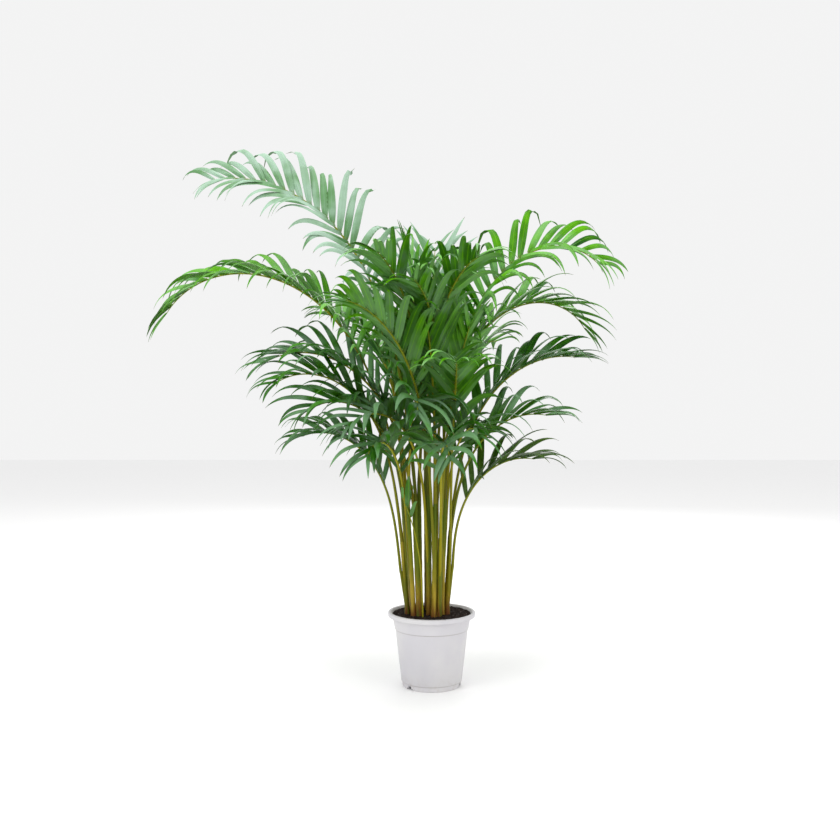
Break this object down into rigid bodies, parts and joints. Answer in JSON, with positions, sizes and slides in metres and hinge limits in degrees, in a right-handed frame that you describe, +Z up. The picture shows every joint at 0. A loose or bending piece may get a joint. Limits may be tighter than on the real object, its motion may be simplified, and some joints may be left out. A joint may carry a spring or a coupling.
{
  "type": "potted areca palm",
  "caption": "Clump-forming feather palm with arching fronds on slender canes, planted in soil in a round tapered nursery pot with a rolled rim and a flat base.",
  "frame": {"origin": "centre of the pot's flat base, on the plane it stands on", "axes": "+Z up along the pot's axis; +X to the right and -Y to the front of the plant, whose longest fronds lean to -X"},
  "size_m": [1.2925, 0.9243, 1.4673],
  "materials": {
    "pot_plastic": "satin",
    "potting_soil": "matte",
    "cane": "satin",
    "frond_green": "satin"
  },
  "bodies": {
    "root": {"frond_back_1": "frond_green", "frond_back_2": "frond_green", "frond_back_3": "frond_green", "frond_back_4": "frond_green", "frond_back_5": "frond_green", "frond_centre_front": "frond_green", "frond_front_1": "frond_green", "frond_front_2": "frond_green", "frond_front_3": "frond_green", "frond_front_4": "frond_green", "frond_front_5": "frond_green", "frond_left_long": "frond_green", "frond_left_low": "frond_green", "frond_left_lowest": "frond_green", "frond_left_mid": "frond_green", "frond_right_arch": "frond_green", "frond_right_low": "frond_green", "frond_right_lowest": "frond_green", "frond_right_mid": "frond_green", "frond_skirt_1": "frond_green", "frond_skirt_2": "frond_green", "frond_skirt_3": "frond_green", "frond_skirt_4": "frond_green", "frond_skirt_5": "frond_green", "frond_skirt_6": "frond_green", "frond_top_back": "frond_green", "frond_upper_left": "frond_green", "frond_upper_right": "frond_green", "frond_young_1": "frond_green", "frond_young_2": "frond_green", "frond_young_3": "frond_green", "frond_young_4": "frond_green", "frond_young_5": "frond_green", "frond_young_6": "frond_green", "pot": "pot_plastic", "seedling": "frond_green", "soil": "potting_soil", "stem_01": "cane", "stem_02": "cane", "stem_03": "cane", "stem_04": "cane", "stem_05": "cane", "stem_06": "cane", "stem_07": "cane", "stem_08": "cane", "stem_09": "cane", "stem_10": "cane", "stem_11": "cane", "stem_12": "cane", "stem_13": "cane", "stem_14": "cane", "stem_15": "cane", "stem_16": "cane", "stem_17": "cane", "stem_18": "cane", "stem_19": "cane", "stem_20": "cane", "stem_21": "cane", "stem_22": "cane", "stem_23": "cane"}
  },
  "joints": []
}
